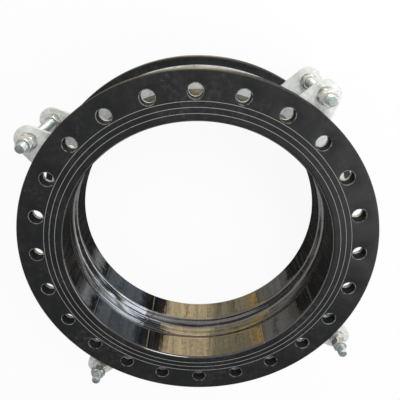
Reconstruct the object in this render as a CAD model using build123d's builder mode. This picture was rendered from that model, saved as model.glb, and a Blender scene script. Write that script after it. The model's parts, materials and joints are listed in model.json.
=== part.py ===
from build123d import *
from math import radians, sqrt, tan
import os

# A rubber expansion joint for a 700 mm pipeline. One moulded rubber body has a full-face flange at
# each end and one wide arch between them. Behind each flange lies a split steel ring, and the ears
# of the rings carry four threaded tie rods with their nuts. The axis stands along +Z, and the
# sealing beads of the lower flange lie on Z = 0.

# Rubber body
bore_r = 350
face_to_face = 260
flange_t = 28
flange_beyond_bolts = 47.5
wall_t = 18
groove_depth = 16
groove_half = 20
mouth_half = 44
groove_corner_r = 40
mouth_corner_r = 24
crown_height = 28
crown_half = 38
foot_half = 66
crown_corner_r = 32
foot_corner_r = 8
root_corner_r = 6
bore_edge_r = 7
rim_edge_r = 3

# Flange bolts
bolts_beyond_bore = 70
bolt_count = 24
first_bolt_angle = 90
bolt_hole_r = 18
hole_lead = 1.0

# Raised sealing beads on both flange faces, counted inward from the bolt holes
bead_count = 3
bead_from_holes = 4.5
bead_pitch = 14
bead_w = 2.6
bead_h = 1.2
bead_side_angle = 60

# Steel backing rings, each in two halves, with an ear for each tie rod
ring_neck_clearance = 10
ring_beyond_holes = 8
ring_t = 10
ring_split_gap = 3
plate_edge = 0.8
ear_angle = 53.4
ear_end_r = 37
ear_root_inset = 16
ear_root_half = 56
ear_corner_r = 12

# Tie rods and their hexagon nuts, one rod for each tip height
rods_beyond_flange = 33
rod_r = 12
rod_hole_clearance = 2
rod_end_lead = 2.6
rod_foot_clearance = 4
rod_tips_above_face = (36, 36, 37, 42)
nut_turns = (4, 17, 26, 9)
lock_nut_turn = 22
nut_flats = 36
nut_height = 20.5
nut_seat_inset = 0.9
nut_edge_angle = 30
thread_clearance = 0.1

half_height = face_to_face / 2
flange_face = half_height - bead_h
flange_back = flange_face - flange_t
lower_seat = bead_h + flange_t
upper_seat = face_to_face - lower_seat

neck_r = bore_r + wall_t
bolt_circle_r = bore_r + bolts_beyond_bore
flange_r = bolt_circle_r + flange_beyond_bolts
outer_bead_r = bolt_circle_r - bolt_hole_r - bead_from_holes
ring_bore_r = neck_r + ring_neck_clearance
ring_r = bolt_circle_r + bolt_hole_r + ring_beyond_holes
rod_circle_r = flange_r + rods_beyond_flange
rod_count = len(rod_tips_above_face)
rod_pitch_angle = 360 / rod_count
bolt_pitch_angle = 360 / bolt_count
split_angle = first_bolt_angle % bolt_pitch_angle + bolt_pitch_angle / 2

os.makedirs("parts", exist_ok=True)


def save(builder, name):
    builder.part.label = name
    export_step(builder.part, f"parts/{name}.step")


with BuildPart() as rubber_body:
    with BuildSketch(Plane((0, 0, half_height), x_dir=(1, 0, 0), z_dir=(0, -1, 0))):
        with BuildLine():
            wall = FilletPolyline(
                (bore_r + groove_depth, 0),
                (bore_r + groove_depth, groove_half),
                (bore_r, mouth_half),
                (bore_r, flange_face),
                (flange_r, flange_face),
                (flange_r, flange_back),
                (neck_r, flange_back),
                (neck_r, foot_half),
                (neck_r + crown_height, crown_half),
                (neck_r + crown_height, 0),
                radius=[
                    groove_corner_r,
                    mouth_corner_r,
                    bore_edge_r,
                    rim_edge_r,
                    rim_edge_r,
                    root_corner_r,
                    foot_corner_r,
                    crown_corner_r,
                ],
            )
            Line(wall @ 1, wall @ 0)
        make_face()
        for bead in range(bead_count):
            with Locations((outer_bead_r - bead * bead_pitch, flange_face)):
                Trapezoid(bead_w, bead_h, bead_side_angle, align=(Align.CENTER, Align.MIN))
        mirror(about=Plane.XZ)
    revolve(axis=Axis.Z)
    with BuildSketch():
        with PolarLocations(bolt_circle_r, bolt_count, first_bolt_angle):
            Circle(bolt_hole_r)
    extrude(amount=face_to_face, mode=Mode.SUBTRACT)
    hole_rims = (
        rubber_body.edges()
        .filter_by(GeomType.CIRCLE)
        .filter_by(lambda rim: abs(rim.radius - bolt_hole_r) < 0.01)
        .group_by(Axis.Z)
    )
    chamfer(hole_rims[0] + hole_rims[-1], hole_lead)
save(rubber_body, "rubber_body")

with BuildSketch() as ear:
    with BuildLine():
        CenterArc((rod_circle_r, 0), ear_end_r, 0, 360)
        Line((ring_r - ear_root_inset, -ear_root_half), (ring_r - ear_root_inset, ear_root_half))
    make_hull()


def ring_half(low_z, turn):
    with BuildPart() as half:
        with BuildSketch(Plane.XY.offset(low_z)):
            Circle(ring_r)
            with PolarLocations(0, rod_count, ear_angle):
                add(ear.sketch)
            Circle(ring_bore_r, mode=Mode.SUBTRACT)
            with PolarLocations(bolt_circle_r, bolt_count, first_bolt_angle):
                Circle(bolt_hole_r, mode=Mode.SUBTRACT)
            with PolarLocations(rod_circle_r, rod_count, ear_angle):
                Circle(rod_r + rod_hole_clearance, mode=Mode.SUBTRACT)
            reach = rod_circle_r + ear_end_r
            with PolarLocations(ring_split_gap / 2, 1, split_angle + turn + 90):
                Rectangle(reach, 2 * reach, align=(Align.MIN, Align.CENTER), mode=Mode.INTERSECT)
        extrude(amount=ring_t)
        ear_roots = half.edges().filter_by(Axis.Z).filter_by(at_ring_edge)
        fillet(ear_roots, ear_corner_r)
        plate_rims = [face.outer_wire().edges() for face in half.faces().filter_by(Axis.Z)]
        chamfer([side for rim in plate_rims for side in rim], plate_edge)
    return half


def at_ring_edge(corner):
    middle = corner.center()
    on_rim = abs(sqrt(middle.X**2 + middle.Y**2) - ring_r) < 0.01
    split_side = abs(cross_track(middle)) > ear_root_half
    return on_rim and split_side


def cross_track(point):
    across = Vector(0, 1).rotate(Axis.Z, split_angle)
    return point.dot(across)


for end, low_z in (("bottom", lower_seat), ("top", upper_seat - ring_t)):
    for number, turn in ((1, 0), (2, 180)):
        save(ring_half(low_z, turn), f"{end}_ring_half_{number}")


def hex_nut(position, low_z, turn):
    corner_r = nut_flats / sqrt(3)
    seat_r = nut_flats / 2 - nut_seat_inset
    edge_h = (corner_r - seat_r) * tan(radians(nut_edge_angle))
    with BuildPart() as nut:
        with BuildSketch(Plane(position + Vector(0, 0, low_z))):
            RegularPolygon(nut_flats / 2, 6, major_radius=False, rotation=turn)
            Circle(rod_r + thread_clearance, mode=Mode.SUBTRACT)
        extrude(amount=nut_height)
        with BuildSketch(Plane(position + Vector(0, 0, low_z), x_dir=(1, 0, 0), z_dir=(0, -1, 0))):
            with BuildLine():
                Polyline(
                    (0, 0),
                    (seat_r, 0),
                    (corner_r, edge_h),
                    (corner_r, nut_height - edge_h),
                    (seat_r, nut_height),
                    (0, nut_height),
                    close=True,
                )
            make_face()
        revolve(axis=Axis(position, (0, 0, 1)), mode=Mode.INTERSECT)
    return nut


for index in range(rod_count):
    number = index + 1
    rod_angle = ear_angle + index * rod_pitch_angle
    rod_place = Vector(rod_circle_r, 0).rotate(Axis.Z, rod_angle)
    with BuildPart() as tie_rod:
        with BuildSketch(Plane(rod_place + Vector(0, 0, rod_foot_clearance))):
            Circle(rod_r)
        extrude(amount=face_to_face + rod_tips_above_face[index] - rod_foot_clearance)
        chamfer(tie_rod.edges().filter_by(GeomType.CIRCLE), rod_end_lead)
    save(tie_rod, f"tie_rod_{number}")

    nut_angle = rod_angle + nut_turns[index]
    save(hex_nut(rod_place, lower_seat - nut_height, nut_angle), f"bottom_nut_{number}")
    save(hex_nut(rod_place, lower_seat + ring_t, nut_angle + lock_nut_turn), f"inner_nut_{number}")
    save(hex_nut(rod_place, upper_seat, nut_angle), f"top_nut_{number}")
    save(hex_nut(rod_place, upper_seat + nut_height, nut_angle + lock_nut_turn), f"lock_nut_{number}")
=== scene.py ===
import bmesh
import bpy
import json
from math import cos, degrees, pi, radians, sin, tan
from mathutils import Euler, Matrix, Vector

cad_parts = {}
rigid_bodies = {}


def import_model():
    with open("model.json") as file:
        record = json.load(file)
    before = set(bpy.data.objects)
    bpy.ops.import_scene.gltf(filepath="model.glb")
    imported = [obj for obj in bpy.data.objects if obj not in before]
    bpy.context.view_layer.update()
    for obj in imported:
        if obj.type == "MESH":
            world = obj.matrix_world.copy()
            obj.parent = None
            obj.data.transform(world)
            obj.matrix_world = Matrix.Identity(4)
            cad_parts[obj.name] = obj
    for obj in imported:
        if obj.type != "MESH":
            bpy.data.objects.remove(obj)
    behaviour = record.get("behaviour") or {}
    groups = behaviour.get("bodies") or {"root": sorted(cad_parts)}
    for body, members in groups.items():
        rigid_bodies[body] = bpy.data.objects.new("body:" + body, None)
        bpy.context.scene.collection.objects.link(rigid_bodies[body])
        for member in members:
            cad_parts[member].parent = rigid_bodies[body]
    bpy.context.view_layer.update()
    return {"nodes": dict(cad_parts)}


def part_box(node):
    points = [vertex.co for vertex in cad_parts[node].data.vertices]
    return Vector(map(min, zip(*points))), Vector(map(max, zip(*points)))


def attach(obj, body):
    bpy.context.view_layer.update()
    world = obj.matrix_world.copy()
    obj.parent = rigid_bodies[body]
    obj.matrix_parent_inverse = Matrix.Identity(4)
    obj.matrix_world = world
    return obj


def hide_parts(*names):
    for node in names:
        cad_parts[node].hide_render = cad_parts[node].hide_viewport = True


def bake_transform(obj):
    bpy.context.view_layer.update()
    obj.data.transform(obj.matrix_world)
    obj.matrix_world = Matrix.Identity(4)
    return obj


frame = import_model()
cadNodes = frame["nodes"]
print("frame loaded:", len(cadNodes), "nodes")

# camera at the photo's viewing angle

cameraView = {
    "place": (0.01824, 0.61469, 1.28585),
    "turn": (-24.1715, 0.3739, -0.4604),   # degrees
    "lens": 41.106,                        # mm, on a sensor 36 mm wide
}

camera = bpy.data.objects.new("photoCamera", bpy.data.cameras.new("photoCamera"))
camera.location = cameraView["place"]
camera.rotation_euler = Euler([radians(a) for a in cameraView["turn"]])
camera.data.lens = cameraView["lens"]
camera.data.sensor_width = 36
bpy.context.scene.collection.objects.link(camera)
bpy.context.scene.camera = camera
bpy.context.scene.view_settings.view_transform = "Standard"
print("camera set")

# node trees written as expressions


class Field:
    # one output socket of a node, so that sums and products of sockets read as Python

    def __init__(self, tree, socket):
        self.tree = tree
        self.socket = socket

    def math(self, operation, *others):
        return self.node("ShaderNodeMath", {"operation": operation}, [self, *others])

    def node(self, kind, settings=None, sockets=(), out=0):
        return addNode(self.tree, kind, settings, sockets, out)

    def __add__(self, other):
        return self.math("ADD", other)

    def __sub__(self, other):
        return self.math("SUBTRACT", other)

    def __mul__(self, other):
        return self.math("MULTIPLY", other)

    def __truediv__(self, other):
        return self.math("DIVIDE", other)

    def __pow__(self, other):
        return self.math("POWER", other)

    def __rsub__(self, other):
        return addNode(self.tree, "ShaderNodeMath", {"operation": "SUBTRACT"}, [other, self])

    def __rtruediv__(self, other):
        return addNode(self.tree, "ShaderNodeMath", {"operation": "DIVIDE"}, [other, self])

    def __abs__(self):
        return self.math("ABSOLUTE")

    __radd__ = __add__
    __rmul__ = __mul__

    def between(self, low, high):
        # 0 below low and 1 above high, with a soft step; low may be the larger one
        return self.node("ShaderNodeMapRange", {"interpolation_type": "SMOOTHSTEP"},
                         {"Value": self, "From Min": low, "From Max": high})


def addNode(tree, kind, settings=None, sockets=(), out=0):
    node = tree.nodes.new(kind)
    for name, value in (settings or {}).items():
        setattr(node, name, value)
    pairs = sockets.items() if isinstance(sockets, dict) else enumerate(sockets)
    for name, value in pairs:
        if isinstance(value, Field):
            tree.links.new(value.socket, node.inputs[name])
        else:
            node.inputs[name].default_value = value
    if out is None:
        return node
    return Field(tree, node.outputs[out])


class Finish:
    # a material: fixed numbers sit on the shader's own sockets, fields are linked to them

    def __init__(self, name, stored=None):
        self.material = bpy.data.materials.new(name)
        self.material.use_nodes = True
        self.tree = self.material.node_tree
        self.shader = self.tree.nodes["Principled BSDF"]
        if stored:
            self.place = self.node("ShaderNodeAttribute", {"attribute_name": stored}, out="Vector")
        else:
            self.place = self.node("ShaderNodeTexCoord", out="Object")

    def node(self, kind, settings=None, sockets=(), out=0):
        return addNode(self.tree, kind, settings, sockets, out)

    def axes(self):
        split = self.node("ShaderNodeSeparateXYZ", None, [self.place], out=None)
        return [Field(self.tree, socket) for socket in split.outputs]

    def noise(self, scale, detail, roughness, vector=None):
        return self.node("ShaderNodeTexNoise", {"noise_dimensions": "3D"},
                         {"Vector": vector or self.place, "Scale": scale, "Detail": detail,
                          "Roughness": roughness}, "Fac")

    def stretched(self, sizes, turn=(0, 0, 0)):
        return self.node("ShaderNodeMapping", None,
                         {"Vector": self.place, "Scale": sizes, "Rotation": turn})

    def mixed(self, mask, first, second):
        return self.node("ShaderNodeMix", {"data_type": "RGBA"},
                         {"Factor": mask, 6: first, 7: second}, out=2)

    def set(self, **sockets):
        for name, value in sockets.items():
            socket = self.shader.inputs[name.replace("_", " ")]
            if isinstance(value, Field):
                self.tree.links.new(value.socket, socket)
            else:
                socket.default_value = value

    def bump(self, height, distance):
        normal = self.node("ShaderNodeBump", None,
                           {"Height": height, "Distance": distance, "Strength": 1.0}, "Normal")
        self.tree.links.new(normal.socket, self.shader.inputs["Normal"])


def grey(level):
    return (level, level, level, 1)


# rubber body

body = {
    "boreRadius": 0.350,
    "wall": 0.018,
    "rimRadius": 0.4675,
    "flange": 0.028,
    "height": 0.260,
    "ringPlate": 0.010,        # thickness of the steel ring behind each flange
    "grooveDepth": 0.016,
    "grooveHalf": 0.020,
    "mouthHalf": 0.044,
    "grooveRound": 0.040,
    "mouthRound": 0.024,
    "crownHeight": 0.028,
    "crownHalf": 0.038,
    "footHalf": 0.066,
    "crownRound": 0.032,
    "footRound": 0.008,
    "rootRound": 0.006,
    "rimRound": 0.003,
    "boreEdge": 0.007,
    "liningEdge": 0.0022,      # how far from each end the glossy lining begins
    "beadRadii": (0.3695, 0.3835, 0.3975),
    "beadHeight": 0.0012,
    "beadWidth": 0.0026,
    "beadSlope": 60,           # degrees
    "boltCircle": 0.420,
    "holeRadius": 0.018,
    "holeLip": 0.001,
    "lipSteps": ((1, 0), (0.62, 0.1), (0.29, 0.29), (0.1, 0.62), (0, 1), (0, 2)),  # width, depth
    "holeCount": 24,
    "holeFacets": 32,
    "sectorColumns": 12,
    "arcStep": 8,              # degrees of each facet in a rounded corner
    "support": 0.0006,         # a loop this far beyond each corner keeps the flats flat
    "rimInset": 0.006,         # where the flats of the flange meet the loops of its rim
    "neckInset": 0.012,        # where they meet the loops of the neck
    "weld": 0.00002,
    "sharpAngle": 32,          # degrees
}


def roundedLine(corners):
    # corners are (radius, height, rounding); the answer is a list of (radius, height)
    line = []
    for i, (r, z, size) in enumerate(corners):
        here = Vector((r, z))
        if i in (0, len(corners) - 1) or not size:
            line.append(here)
            continue
        back = (Vector(corners[i - 1][:2]) - here).normalized()
        ahead = (Vector(corners[i + 1][:2]) - here).normalized()
        half = back.angle(ahead) / 2
        reach = size / tan(half)
        centre = here + (back + ahead).normalized() * (size / sin(half))
        first = here + back * reach
        last = here + ahead * reach
        sweep = pi - 2 * half
        steps = max(3, round(degrees(sweep) / body["arcStep"]))
        side = 1 if back.x * ahead.y - back.y * ahead.x < 0 else -1
        line.append(first + back * body["support"])
        for k in range(steps + 1):
            turn = side * sweep * k / steps
            arm = first - centre
            line.append(centre + Vector((arm.x * cos(turn) - arm.y * sin(turn),
                                         arm.x * sin(turn) + arm.y * cos(turn))))
        line.append(last + ahead * body["support"])
    return line


def mirrored(corners, height):
    return [(r, height - z, size) for r, z, size in reversed(corners)]


def insideCorners():
    # from the outermost bead of the top face, over the bore edge and the groove, to the middle
    top = body["height"]
    face = top - body["beadHeight"]
    middle = top / 2
    halfWide = body["beadWidth"] / 2
    flat = halfWide - body["beadHeight"] / tan(radians(body["beadSlope"]))
    corners = []
    for r in sorted(body["beadRadii"], reverse=True):
        corners += [(r + halfWide, face, 0), (r + flat, top, 0),
                    (r - flat, top, 0), (r - halfWide, face, 0)]
    bore = body["boreRadius"]
    deep = bore + body["grooveDepth"]
    corners += [
        (bore, face, body["boreEdge"]),
        (bore, middle + body["mouthHalf"], body["mouthRound"]),
        (deep, middle + body["grooveHalf"], body["grooveRound"]),
        (deep, middle, 0),
    ]
    return corners


def outsideCorners():
    # from the back of the top flange, down the neck and over the arch, to the middle
    middle = body["height"] / 2
    back = body["height"] - body["beadHeight"] - body["flange"]
    neck = body["boreRadius"] + body["wall"]
    crown = neck + body["crownHeight"]
    return [
        (neck + body["neckInset"], back, 0),
        (neck, back, body["rootRound"]),
        (neck, middle + body["footHalf"], body["footRound"]),
        (crown, middle + body["crownHalf"], body["crownRound"]),
        (crown, middle, 0),
    ]


def rimCorners():
    face = body["height"] - body["beadHeight"]
    back = face - body["flange"]
    rim = body["rimRadius"]
    start = rim - body["rimInset"]
    size = body["rimRound"]
    return [(start, face, 0), (rim, face, size), (rim, back, size), (start, back, 0)]


def makeSector():
    # one bolt hole's slice of the body, with the hole on the +X axis
    height = body["height"]
    inside = insideCorners()
    inside = inside[:-1] + mirrored(inside[:-1], height)
    outside = outsideCorners()
    outside = outside[:-1] + mirrored(outside[:-1], height)
    rim = rimCorners()
    lines = {
        "inside": roundedLine(inside),
        "outside": roundedLine(outside),
        "rimTop": roundedLine(rim),
        "rimLow": roundedLine(mirrored(rim, height)),
    }
    columns = body["sectorColumns"]
    halfTurn = pi / body["holeCount"]
    turns = [halfTurn * (2 * j / columns - 1) for j in range(columns + 1)]
    facets = body["holeFacets"]
    holeTurns = [2 * pi * k / facets for k in range(facets)]

    work = bmesh.new()
    liner = work.verts.layers.float.new("liner")   # 1 on the lining of the bore, 0 elsewhere
    faceHigh = height - body["beadHeight"]

    def ringOf(point, inner):
        r, z = point
        ring = [work.verts.new((r * cos(a), r * sin(a), z)) for a in turns]
        for vert in ring:
            vert[liner] = inner
        return ring

    rings = {}
    for name, line in lines.items():
        rings[name] = []
        for r, z in line:
            lined = name == "inside" and min(z, height - z) > body["liningEdge"]
            rings[name].append(ringOf((r, z), 1.0 if lined else 0.0))
        for upper, lower in zip(rings[name], rings[name][1:]):
            for j in range(columns):
                work.faces.new((upper[j], upper[j + 1], lower[j + 1], lower[j]))

    def holeWall(faceZ, backZ):
        out = 1 if faceZ > backZ else -1
        lip = body["holeLip"]
        radius = body["holeRadius"]
        steps = [(radius + lip * wide, faceZ - out * lip * deep) for wide, deep in body["lipSteps"]]
        steps.append((radius, backZ))
        holeRings = []
        for r, z in steps:
            holeRings.append([work.verts.new((body["boltCircle"] + r * cos(a), r * sin(a), z))
                              for a in holeTurns])
        for near, far in zip(holeRings, holeRings[1:]):
            for k in range(facets):
                work.faces.new((near[k], near[k - 1], far[k - 1], far[k]))
        return holeRings[0], holeRings[-1]

    def plate(innerRing, outerRing, hole):
        edges = []
        for first, second in ((innerRing[0], outerRing[0]), (innerRing[-1], outerRing[-1])):
            edges.append(work.edges.new((first, second)))
        for ring in (innerRing, outerRing):
            edges += [work.edges.get((ring[j], ring[j + 1])) for j in range(columns)]
        edges += [work.edges.get((hole[k - 1], hole[k])) for k in range(facets)]
        bmesh.ops.triangle_fill(work, use_beauty=True, use_dissolve=False, edges=edges)

    faceLow = body["beadHeight"]
    topHole = holeWall(faceHigh, faceHigh - body["flange"])
    lowHole = holeWall(faceLow, faceLow + body["flange"])
    plate(rings["inside"][0], rings["rimTop"][0], topHole[0])
    plate(rings["outside"][0], rings["rimTop"][-1], topHole[1])
    plate(rings["inside"][-1], rings["rimLow"][-1], lowHole[0])
    plate(rings["outside"][-1], rings["rimLow"][0], lowHole[1])
    mesh = bpy.data.meshes.new("sector")
    work.to_mesh(mesh)
    work.free()
    return mesh


def newTree(name):
    tree = bpy.data.node_groups.new(name, "GeometryNodeTree")
    tree.is_modifier = True
    return tree


def newInput(tree, name, kind):
    return tree.interface.new_socket(name, in_out="INPUT", socket_type=kind).identifier


def applied(source, tree, values, name):
    # evaluates the tree on the source mesh and keeps only the plain result
    holder = bpy.data.objects.new(name + "Source", source)
    bpy.context.scene.collection.objects.link(holder)
    modifier = holder.modifiers.new("nodes", "NODES")
    modifier.node_group = tree
    for identifier, value in values.items():
        modifier[identifier] = value
    graph = bpy.context.evaluated_depsgraph_get()
    mesh = bpy.data.meshes.new_from_object(holder.evaluated_get(graph), depsgraph=graph)
    mesh.name = name
    holder.modifiers.remove(modifier)
    bpy.data.objects.remove(holder)
    piece = bpy.data.objects.new(name, mesh)
    bpy.context.scene.collection.objects.link(piece)
    return piece


def sectorTree():
    tree = newTree("turnedSectors")
    tree.interface.new_socket("Sector", in_out="INPUT", socket_type="NodeSocketGeometry")
    ids = {"count": newInput(tree, "Count", "NodeSocketInt"),
           "finish": newInput(tree, "Finish", "NodeSocketMaterial"),
           "lining": newInput(tree, "Lining", "NodeSocketMaterial")}
    tree.interface.new_socket("Body", in_out="OUTPUT", socket_type="NodeSocketGeometry")
    given = addNode(tree, "NodeGroupInput", out=None)
    sector, count, finish, lining = [Field(tree, given.outputs[i]) for i in range(4)]
    index = addNode(tree, "GeometryNodeInputIndex")
    turn = addNode(tree, "ShaderNodeCombineXYZ", None, {"Z": index * (2 * pi) / count})
    points = addNode(tree, "GeometryNodePoints", None, {"Count": count})
    copies = addNode(tree, "GeometryNodeInstanceOnPoints", None,
                     {"Points": points, "Instance": sector, "Rotation": turn})
    whole = addNode(tree, "GeometryNodeRealizeInstances", None, [copies])
    closed = addNode(tree, "GeometryNodeMergeByDistance", None,
                     {"Geometry": whole, "Distance": body["weld"]})
    here = addNode(tree, "GeometryNodeInputPosition")   # kept, so that patterns follow the rubber
    placed = addNode(tree, "GeometryNodeStoreNamedAttribute",
                     {"data_type": "FLOAT_VECTOR", "domain": "POINT"},
                     {"Geometry": closed, "Name": "restPlace", "Value": here})
    lined = addNode(tree, "GeometryNodeInputNamedAttribute", {"data_type": "FLOAT"}, {"Name": "liner"})
    skinned = addNode(tree, "GeometryNodeSetMaterial", None, {"Geometry": placed, "Material": finish})
    done = addNode(tree, "GeometryNodeSetMaterial", None,
                   {"Geometry": skinned, "Selection": lined.math("GREATER_THAN", 0.9), "Material": lining})
    addNode(tree, "NodeGroupOutput", None, [done], out=None)
    return tree, ids


def shadeByAngle(mesh, limit):
    mesh.shade_smooth()
    mesh.set_sharp_from_angle(angle=radians(limit))


rubberLook = {
    "black": (0.0066, 0.0078, 0.0074, 1),
    "brown": (0.0140, 0.0146, 0.0130, 1),
    "dust": (0.120, 0.120, 0.112, 1),
    # grey of worn bead tops, and of the painted highlight on the hole rims
    "wearAndHighlight": (0.25, 0.26, 0.25, 1),
    "dusted": 0.22,            # strength of the dust, of its specks and of the scratches
    "specked": 0.16,
    "scratched": 0.36,
    # strength of the painted highlight on the rim of each bolt hole
    "lipHighlight": 0.80,
    "roughness": 0.40,
    "boredRough": 0.35,        # how much rougher the walls of the holes are
    "ior": 1.45,
    "bumpDepth": 0.0012,
}


def holeGap(x, y, circle, count, first=0.0):
    # how far each point is from the nearest of some holes on a circle, the first at that many degrees
    step = 2 * pi / count
    around = (y.math("ARCTAN2", x) - radians(first)) / step
    offset = (around - around.math("ROUND")) * step
    radius = (x * x + y * y) ** 0.5
    return ((radius - circle) ** 2.0 + (offset * circle) ** 2.0) ** 0.5


def rubberFinish():
    look = rubberLook
    skin = Finish("mouldedRubber", "restPlace")
    x, y, z = skin.axes()
    radius = (x * x + y * y) ** 0.5
    halfHeight = body["height"] / 2
    fromMiddle = abs(z - halfHeight)
    face = halfHeight - body["beadHeight"]
    hole = body["holeRadius"]
    lipEdge = hole + body["holeLip"]
    nearHole = holeGap(x, y, body["boltCircle"], body["holeCount"])
    lip = nearHole.between(lipEdge + 0.0014, lipEdge) * fromMiddle.between(face - 0.0018, face - 0.0011)
    bored = nearHole.between(hole + 0.0005, hole + 0.0001)

    cloud = skin.noise(6, 4, 0.6)
    blotch = skin.noise(26, 4, 0.65)
    fine = skin.noise(85, 4, 0.7)
    grain = skin.noise(430, 2, 0.6)
    scratchA = skin.noise(30, 3, 0.6, skin.stretched((1, 11, 1), (0, 0, 0.8)))
    scratchB = skin.noise(34, 3, 0.6, skin.stretched((10, 1, 1), (0, 0, 0.45)))
    scratches = scratchA.between(0.69, 0.73) + scratchB.between(0.69, 0.73)
    beadSide = fromMiddle.between(face - 0.0002, face + 0.0003)
    beadTop = fromMiddle.between(face + 0.0005, face + 0.0011)
    beads = abs(radius - body["beadRadii"][1]).between(0.0190, 0.0180)   # the band that holds all three
    dusty = cloud.between(0.45, 0.70) * fine.between(0.42, 0.72)

    base = skin.mixed(blotch.between(0.45, 0.70), look["black"], look["brown"])
    base = skin.mixed(dusty * look["dusted"], base, look["dust"])
    base = skin.mixed(fine.between(0.62, 0.72) * look["specked"], base, look["dust"])
    base = skin.mixed(scratches * cloud.between(0.4, 0.6) * look["scratched"], base, look["dust"])
    base = skin.mixed(beadTop * beads * fine.between(0.1, 0.5), base, look["wearAndHighlight"])
    # painted highlight on the rim of each bolt hole
    base = skin.mixed(lip * fine.between(0.38, 0.58) * look["lipHighlight"], base, look["wearAndHighlight"])

    height = grain * 0.10 + fine * 0.10 + blotch * 0.35 - scratches * 0.05
    roughness = look["roughness"] + (fine - 0.5) * 0.18 + dusty * 0.15 - beadSide * beads * 0.08
    roughness = roughness + bored * look["boredRough"]
    skin.set(Base_Color=base, Roughness=roughness, IOR=look["ior"])
    skin.bump(height, look["bumpDepth"])
    return skin.material


liningLook = {
    "black": (0.0060, 0.0062, 0.0066, 1),
    # brown film streaks, partly a painted tan reflection
    "filmAndReflection": (0.0560, 0.0460, 0.0340, 1),
    "settled": (0.0640, 0.0540, 0.0400, 1),    # dust that lies in the groove
    # painted highlight: a pale bluish band in the groove that stands for a reflection of light
    "paintedHighlight": (0.7200, 0.7900, 0.8600, 1),
    "seam": (0.0900, 0.0900, 0.0850, 1),       # on the necks; the groove's own seam is black
    "highlightEdges": (205, 225, 244, 290),  # degrees round the bore, where the painted highlight in the groove rises and fades
    "highlightStep": (241.2, 242.2, 0.84),   # where it drops to the next sheet, and by how much
    "highlightHeights": (0.034, 0.016),      # how far above the middle it ends
    "middleLine": (0.0036, 0.0014),      # half the width of the line round the middle
    "roughness": 0.055,
    "ior": 2.1,
    "bumpDepth": 0.0016,
    "wholeSeams": (213.5, 333.5),  # degrees round the bore, where the sheets of the lining meet
    "neckSeams": (244.3, 302.5),
    "grooveSeam": 241.5,
    "seamHalves": (0.0017, 0.0032),      # half the width of a seam, and of the groove's own
    "lean": 1.1,               # how far the groove's own seam leans, in degrees for each 10 mm
}


def liningFinish():
    look = liningLook
    skin = Finish("glossyLining", "restPlace")
    x, y, z = skin.axes()
    turn = y.math("ARCTAN2", x)
    above = z - body["height"] / 2
    groove = abs(above).between(body["mouthHalf"] + 0.004, body["mouthHalf"] - 0.001)
    cloud = skin.noise(9, 3, 0.5)
    streaks = skin.noise(1.0, 3, 0.6, skin.stretched((120, 120, 9)))
    rings = skin.noise(1.0, 2, 0.5, skin.stretched((7, 7, 210)))
    waves = skin.noise(1.0, 2, 0.5, skin.stretched((13, 13, 26)))

    def seamAt(degreesRound, half, lean=0.0):
        # a thin line that crosses the bore there
        wobble = (cloud - 0.5) * 0.012
        middle = radians(degreesRound) - 2 * pi
        away = abs(turn - middle - above * radians(-lean * 100) + wobble) * body["boreRadius"]
        return away.between(half, half * 0.4)

    thin, wide = look["seamHalves"]
    seams = seamAt(look["grooveSeam"], wide, look["lean"]) * groove
    for place in look["neckSeams"]:
        seams = seams + seamAt(place, thin) * (1 - groove)
    for place in look["wholeSeams"]:
        seams = seams + seamAt(place, thin)

    middleLine = abs(above).between(*look["middleLine"])
    # painted highlight in the groove, streaked, over the turn given by its edges
    start, full, fade, end = [edge - 360 for edge in look["highlightEdges"]]
    first, last, drop = look["highlightStep"]
    turned = turn * (180 / pi)
    paintedHighlight = turned.between(start, full) * turned.between(end, fade)
    paintedHighlight = paintedHighlight * (1 - turned.between(first - 360, last - 360) * drop)
    paintedHighlight = paintedHighlight * groove * (0.05 + 0.95 * rings.between(0.42, 0.58)) * waves.between(0.30, 0.52)
    paintedHighlight = paintedHighlight * (0.12 + 0.88 * above.between(*look["highlightHeights"]))

    # streaks of brown film, partly a painted reflection of tan surroundings
    filmAndReflectionMask = cloud.between(0.35, 0.7) * streaks.between(0.40, 0.62)
    base = skin.mixed(filmAndReflectionMask, look["black"], look["filmAndReflection"])
    base = skin.mixed(groove * rings.between(0.35, 0.65) * 0.5, base, look["settled"])
    base = skin.mixed(paintedHighlight, base, look["paintedHighlight"])
    base = skin.mixed(seams * (1 - groove) * 0.8, base, look["seam"])
    base = skin.mixed((seams * groove * 0.9).math("MAXIMUM", middleLine * 0.8), base, look["black"])

    height = waves * 0.7 + streaks * 0.12 + rings * groove * 0.10 - seams * 0.2 - middleLine * 0.4
    roughness = look["roughness"] + (streaks - 0.5) * 0.08 + seams * 0.12 + paintedHighlight * 0.12
    skin.set(Base_Color=base, Roughness=roughness, IOR=look["ior"])
    skin.bump(height, look["bumpDepth"])
    return skin.material


def makeRubber():
    tree, ids = sectorTree()
    values = {ids["count"]: body["holeCount"],
              ids["finish"]: rubberFinish(), ids["lining"]: liningFinish()}
    piece = applied(makeSector(), tree, values, "rubberBody")
    shadeByAngle(piece.data, body["sharpAngle"])
    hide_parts("rubber_body")
    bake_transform(piece)
    return piece


rubberBody = makeRubber()
print("rubber body:", len(rubberBody.data.polygons), "faces")

# steel retaining rings

plateLook = {
    "zinc": (0.62, 0.64, 0.62, 1),
    "pale": (0.90, 0.91, 0.88, 1),
    "dull": (0.30, 0.31, 0.29, 1),
    # painted contact shade round each nut
    "paintedNutShade": (0.10, 0.10, 0.085, 1),
    "spangle": 110,            # flakes in each metre
    "metallic": 0.30,
    "roughness": 0.40,
    "bumpDepth": 0.0006,
    "rods": (0.5005, 4, 53.4),     # circle, count and first angle of the rod holes
    "nutRing": (0.0235, 0.0185),   # where the painted shade round a nut begins and is full
}


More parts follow.
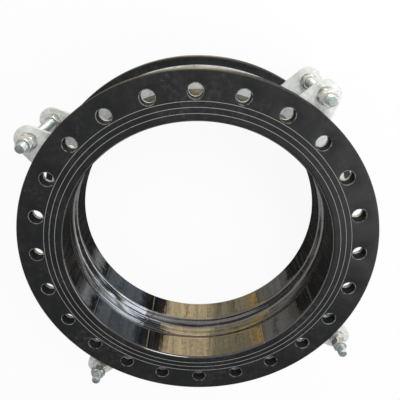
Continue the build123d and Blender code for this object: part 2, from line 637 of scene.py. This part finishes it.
def plateFinish():
    look = plateLook
    skin = Finish("galvanisedPlate")
    flakes = skin.node("ShaderNodeTexVoronoi", {"feature": "F1"},
                       {"Vector": skin.place, "Scale": look["spangle"]}, "Color")
    flake = skin.node("ShaderNodeSeparateColor", None, [flakes])
    x, y = skin.axes()[:2]
    cloud = skin.noise(14, 4, 0.6)
    stain = skin.noise(48, 5, 0.65)
    fine = skin.noise(240, 3, 0.6)
    base = skin.mixed(flake * 0.55 + cloud * 0.4, look["zinc"], look["pale"])
    base = skin.mixed(cloud.between(0.52, 0.70) * 0.55, base, look["dull"])
    base = skin.mixed(stain.between(0.54, 0.72) * 0.50, base, look["dull"])
    # painted contact shade in a ring round each nut
    nutShadeMask = holeGap(x, y, *look["rods"]).between(*look["nutRing"]) * stain.between(0.30, 0.55)
    base = skin.mixed(nutShadeMask * 0.75, base, look["paintedNutShade"])
    roughness = look["roughness"] + flake * 0.10 + fine * 0.12
    skin.set(Base_Color=base, Metallic=look["metallic"], Roughness=roughness)
    skin.bump(cloud * 0.5 + fine * 0.2, look["bumpDepth"])
    return skin.material


galvanised = plateFinish()
for name in ("bottom_ring_half_1", "bottom_ring_half_2", "top_ring_half_1", "top_ring_half_2"):
    cadNodes[name].material_slots[0].material = galvanised
print("rings finished")

# threaded rods

rod = {
    "radius": 0.012,
    "pitch": 0.0030,
    "depth": 0.0018,
    "lead": 0.0026,            # length of the turned ends
    "columns": 28,
    "crestWide": 0.14,         # shares of the pitch
    "rootFrom": 0.48,
    "rootWide": 0.20,
    "weld": 0.00001,
    "sharpAngle": 24,          # degrees
    "zinc": (0.74, 0.82, 0.80, 1),
    "shade": (0.40, 0.46, 0.45, 1),
    # painted shade in the roots of the thread
    "paintedRootShade": (0.13, 0.15, 0.14, 1),
    "metallic": 0.85,
    "roughness": 0.30,
    "bumpDepth": 0.0002,
}


def threadTree():
    # a grid is rolled round the rod along the thread's helix, so that each row lies on a crest or a root
    tree = newTree("threadedRod")
    ids = {"place": newInput(tree, "Place", "NodeSocketVector"),
           "foot": newInput(tree, "Foot", "NodeSocketFloat"),
           "tip": newInput(tree, "Tip", "NodeSocketFloat"),
           "radius": newInput(tree, "Radius", "NodeSocketFloat"),
           "pitch": newInput(tree, "Pitch", "NodeSocketFloat"),
           "depth": newInput(tree, "Depth", "NodeSocketFloat"),
           "lead": newInput(tree, "Lead", "NodeSocketFloat"),
           "columns": newInput(tree, "Columns", "NodeSocketInt"),
           "finish": newInput(tree, "Finish", "NodeSocketMaterial")}
    tree.interface.new_socket("Rod", in_out="OUTPUT", socket_type="NodeSocketGeometry")
    given = addNode(tree, "NodeGroupInput", out=None)
    place, foot, tip, radius, pitch, depth, lead, columns, finish = [
        Field(tree, given.outputs[i]) for i in range(9)]
    turnRows = 4   # two on the crest and two in the root
    rows = ((tip - foot) / pitch + 2).math("CEIL") * turnRows
    grid = addNode(tree, "GeometryNodeMeshGrid", None,
                   {"Size X": 1, "Size Y": 1, "Vertices X": columns + 1, "Vertices Y": rows}, "Mesh")
    flat = addNode(tree, "GeometryNodeInputPosition")
    at = addNode(tree, "ShaderNodeSeparateXYZ", None, [flat], out=None)
    across, along = [Field(tree, at.outputs[i]) + 0.5 for i in range(2)]
    row = (along * (rows - 1)).math("ROUND")
    phase = row.math("MODULO", turnRows)
    atRoot = phase.math("GREATER_THAN", 1.5)
    inRoot = rod["rootFrom"] + (phase - 2) * rod["rootWide"]
    share = (1 - atRoot) * phase * rod["crestWide"] + atRoot * inRoot
    height = foot + pitch * ((row / turnRows).math("FLOOR") + share + across - 1.5)
    height = height.math("MAXIMUM", foot).math("MINIMUM", tip)
    reach = (radius - depth * atRoot).math("MINIMUM", radius - lead + height - foot)
    reach = reach.math("MINIMUM", radius - lead + tip - height)
    angle = across * (2 * pi)
    rolled = addNode(tree, "ShaderNodeCombineXYZ", None,
                     [reach * angle.math("COSINE"), reach * angle.math("SINE"), height])
    marked = addNode(tree, "GeometryNodeStoreNamedAttribute", {"data_type": "FLOAT", "domain": "POINT"},
                     {"Geometry": grid, "Name": "root", "Value": atRoot})
    shaft = addNode(tree, "GeometryNodeSetPosition", None, {"Geometry": marked, "Position": rolled})
    cap = addNode(tree, "GeometryNodeMeshCircle", {"fill_type": "NGON"},
                  {"Vertices": columns, "Radius": radius - lead})
    atTip = addNode(tree, "ShaderNodeCombineXYZ", None, {"Z": tip})
    atFoot = addNode(tree, "ShaderNodeCombineXYZ", None, {"Z": foot})
    top = addNode(tree, "GeometryNodeTransform", None, {"Geometry": cap, "Translation": atTip})
    low = addNode(tree, "GeometryNodeTransform", None, {"Geometry": cap, "Translation": atFoot})
    low = addNode(tree, "GeometryNodeFlipFaces", None, [low])
    joined = addNode(tree, "GeometryNodeJoinGeometry", out=None)
    for part in (shaft, top, low):
        tree.links.new(part.socket, joined.inputs[0])
    closed = addNode(tree, "GeometryNodeMergeByDistance", None,
                     {"Geometry": Field(tree, joined.outputs[0]), "Distance": rod["weld"]})
    moved = addNode(tree, "GeometryNodeTransform", None, {"Geometry": closed, "Translation": place})
    real = addNode(tree, "GeometryNodeRealizeInstances", None, [moved])
    done = addNode(tree, "GeometryNodeSetMaterial", None, {"Geometry": real, "Material": finish})
    addNode(tree, "NodeGroupOutput", None, [done], out=None)
    return tree, ids


def platedFinish(name, look, scale):
    skin = Finish(name)
    cloud = skin.noise(scale, 4, 0.6)
    fine = skin.noise(scale * 9, 3, 0.6)
    base = skin.mixed(cloud.between(0.35, 0.7), look["zinc"], look["shade"])
    # painted shade in the roots of the thread, where a rod has them
    if "paintedRootShade" in look:
        inRoot = skin.node("ShaderNodeAttribute", {"attribute_name": "root"}, out="Fac")
        base = skin.mixed(inRoot * (0.55 + cloud * 0.6), base, look["paintedRootShade"])
    roughness = look["roughness"] + cloud * 0.16 + fine * 0.08
    skin.set(Base_Color=base, Metallic=look["metallic"], Roughness=roughness)
    skin.bump(fine, look["bumpDepth"])
    return skin.material


def makeRods():
    tree, ids = threadTree()
    finish = platedFinish("zincThread", rod, 60)
    for number in (1, 2, 3, 4):
        node = f"tie_rod_{number}"
        low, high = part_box(node)
        values = {ids["place"]: ((low[0] + high[0]) / 2, (low[1] + high[1]) / 2, 0.0),
                  ids["foot"]: float(low[2]), ids["tip"]: float(high[2]), ids["columns"]: rod["columns"],
                  ids["finish"]: finish}
        for size in ("radius", "pitch", "depth", "lead"):
            values[ids[size]] = rod[size]
        piece = applied(bpy.data.meshes.new("empty"), tree, values, f"threadedRod{number}")
        shadeByAngle(piece.data, rod["sharpAngle"])
        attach(piece, "lower_end")
        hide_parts(node)
        print("rod", number, len(piece.data.polygons), "faces")


makeRods()

# nuts

nutLook = {
    "zinc": (0.80, 0.78, 0.70, 1),
    "shade": (0.50, 0.53, 0.52, 1),
    "metallic": 0.85,
    "roughness": 0.24,
    "bumpDepth": 0.0002,
}

nutFinish = platedFinish("zincNut", nutLook, 45)
for name, node in cadNodes.items():
    if "_nut_" in name:
        node.material_slots[0].material = nutFinish
print("nuts finished")

# floor and studio light

studio = {
    "floorSize": 30,
    "floorColour": (0.86, 0.86, 0.86, 1),
    "floorGlow": 0.92,         # share of the floor's white that no shadow can darken
    "sky": 0.60,
    "ceiling": (0.10, 0.55),   # grey that gloss shows overhead, in front of the object and behind it
    "frontToBack": (-0.75, 0.0),
    "room": 0.035,             # grey that gloss shows through the bore, between the cards
    "horizon": (-0.01, 0.01),  # this and the next three are heights of the reflected direction
    "ceilingFoot": (0.22, 0.50),
    "cardTop": (-0.48, -0.34),
    "windowFoot": (-0.34, -0.22),
    "cards": {                 # pale boards, placed by the degrees round the axis where gloss meets them
        "warm": {"edges": (59, 65, 98, 107), "colour": (3.00, 2.34, 1.42, 1)},
        "tan": {"edges": (99, 107, 134, 138), "colour": (1.10, 0.95, 0.60, 1)},
        "amber": {"edges": (133, 137, 143, 147), "colour": (1.70, 1.18, 0.42, 1)},
        "dim": {"edges": (143, 148, 162, 200), "colour": (0.58, 0.57, 0.51, 1)},
        "cool": {"edges": (-4, 4, 34, 44), "colour": (0.46, 0.54, 0.62, 1)},
        "pale": {"edges": (-28, -18, -10, -6), "colour": (0.84, 0.88, 0.90, 1)},
    },
    "window": {"edges": (-45, 10, 50, 66), "colour": (5.00, 5.40, 5.80, 1)},   # under the horizon
    "lamps": {
        "key": {"place": (0.9, 1.9, 2.2), "aim": (0, 0, 0.1), "size": 1.3, "watts": 41},
        "fill": {"place": (1.7, -0.5, 2.0), "aim": (0, 0, 0.1), "size": 1.6, "watts": 14},
    },
}


def makeFloor():
    half = studio["floorSize"] / 2
    corners = [(-half, -half, 0), (half, -half, 0), (half, half, 0), (-half, half, 0)]
    mesh = bpy.data.meshes.new("floor")
    mesh.from_pydata(corners, [], [(0, 1, 2, 3)])
    floor = bpy.data.objects.new("floor", mesh)
    floor.visible_glossy = False   # gloss looks past the floor at the studio behind it
    bpy.context.scene.collection.objects.link(floor)
    material = bpy.data.materials.new("paleFloor")
    material.use_nodes = True
    tree = material.node_tree
    shader = tree.nodes["Principled BSDF"]
    shader.inputs["Base Color"].default_value = studio["floorColour"]
    shader.inputs["Roughness"].default_value = 0.9
    ray = addNode(tree, "ShaderNodeLightPath", out=None)
    seen = Field(tree, ray.outputs["Is Camera Ray"]).math(
        "MAXIMUM", Field(tree, ray.outputs["Is Glossy Ray"])).math(
        "MAXIMUM", Field(tree, ray.outputs["Is Transmission Ray"]))
    glow = addNode(tree, "ShaderNodeEmission", None, {"Color": grey(1), "Strength": 1.0})
    plain = Field(tree, shader.outputs[0])
    both = addNode(tree, "ShaderNodeMixShader", None, [seen * studio["floorGlow"], plain, glow])
    tree.links.new(both.socket, tree.nodes["Material Output"].inputs["Surface"])
    mesh.materials.append(material)


def makeSky():
    world = bpy.data.worlds.new("studio")
    world.use_nodes = True
    bpy.context.scene.world = world
    tree = world.node_tree

    def mixed(mask, first, second):
        return addNode(tree, "ShaderNodeMix", {"data_type": "RGBA"},
                       {"Factor": mask, 6: first, 7: second}, out=2)

    way = addNode(tree, "ShaderNodeTexCoord", out="Generated")
    split = addNode(tree, "ShaderNodeSeparateXYZ", None, [way], out=None)
    x, y, z = [Field(tree, socket) for socket in split.outputs]
    turn = y.math("ARCTAN2", x) * (180 / pi)
    front, back = studio["ceiling"]
    overhead = mixed(y.between(*studio["frontToBack"]), grey(front), grey(back))
    below = grey(studio["room"])
    streaked = addNode(tree, "ShaderNodeCombineXYZ", None, {"X": turn * 0.55, "Y": z * 7})
    streaks = addNode(tree, "ShaderNodeTexNoise", None,
                      {"Vector": streaked, "Scale": 1.0, "Detail": 4.0}, "Fac")

    def within(edges):
        start, full, fade, end = edges
        return turn.between(start, full) * turn.between(end, fade)

    for card in studio["cards"].values():
        uneven = 0.30 + 0.70 * streaks.between(0.36, 0.58)
        below = mixed(within(card["edges"]) * uneven, below, card["colour"])
    below = mixed(z.between(*studio["cardTop"]), below, grey(1))
    window = studio["window"]
    pane = within(window["edges"]) * z.between(*studio["windowFoot"]) * streaks.between(0.25, 0.6)
    below = mixed(pane, below, window["colour"])
    gloss = mixed(z.between(*studio["ceilingFoot"]), grey(1), overhead)
    gloss = mixed(z.between(*studio["horizon"]), below, gloss)

    ray = addNode(tree, "ShaderNodeLightPath", out=None)
    seen = Field(tree, ray.outputs["Is Camera Ray"]).math(
        "MAXIMUM", Field(tree, ray.outputs["Is Transmission Ray"]))
    level = mixed(Field(tree, ray.outputs["Is Glossy Ray"]), grey(studio["sky"]), gloss)
    level = mixed(seen, level, grey(1))
    tree.links.new(level.socket, tree.nodes["Background"].inputs["Color"])


def makeLamps():
    for name, lamp in studio["lamps"].items():
        light = bpy.data.lights.new(name, "AREA")
        light.shape = "DISK"
        light.size = lamp["size"]
        light.energy = lamp["watts"]
        item = bpy.data.objects.new(name, light)
        item.location = lamp["place"]
        away = Vector(lamp["place"]) - Vector(lamp["aim"])
        item.rotation_euler = away.to_track_quat("Z", "Y").to_euler()
        bpy.context.scene.collection.objects.link(item)


makeFloor()
makeSky()
makeLamps()
print("studio set")
